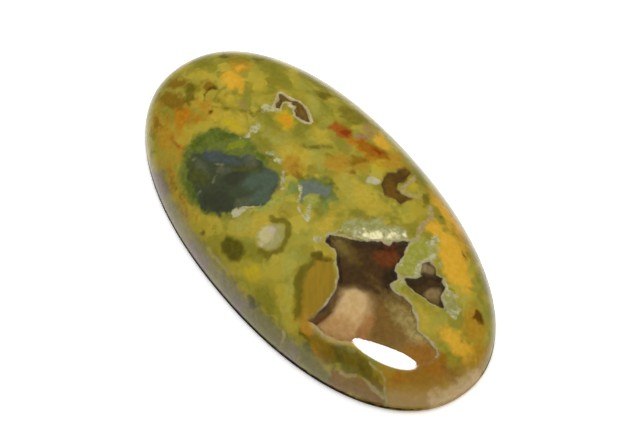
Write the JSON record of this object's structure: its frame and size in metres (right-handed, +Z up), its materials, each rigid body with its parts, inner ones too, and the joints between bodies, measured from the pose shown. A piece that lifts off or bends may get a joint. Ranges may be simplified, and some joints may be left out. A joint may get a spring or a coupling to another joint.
{
  "type": "rhyolite cabochon",
  "caption": "Polished oval cabochon of green and yellow rainforest rhyolite, with a low crown, a narrow girdle and a flat back.",
  "frame": {"origin": "middle of the flat back, on the surface that the stone lies on", "axes": "+X along the oval, +Y across it, +Z up through the top of the crown"},
  "size_m": [0.05, 0.026, 0.007],
  "materials": {
    "polished_rhyolite": "polished",
    "clear_agate": "polished"
  },
  "bodies": {
    "root": {"cabochon": "polished_rhyolite"}
  },
  "joints": []
}
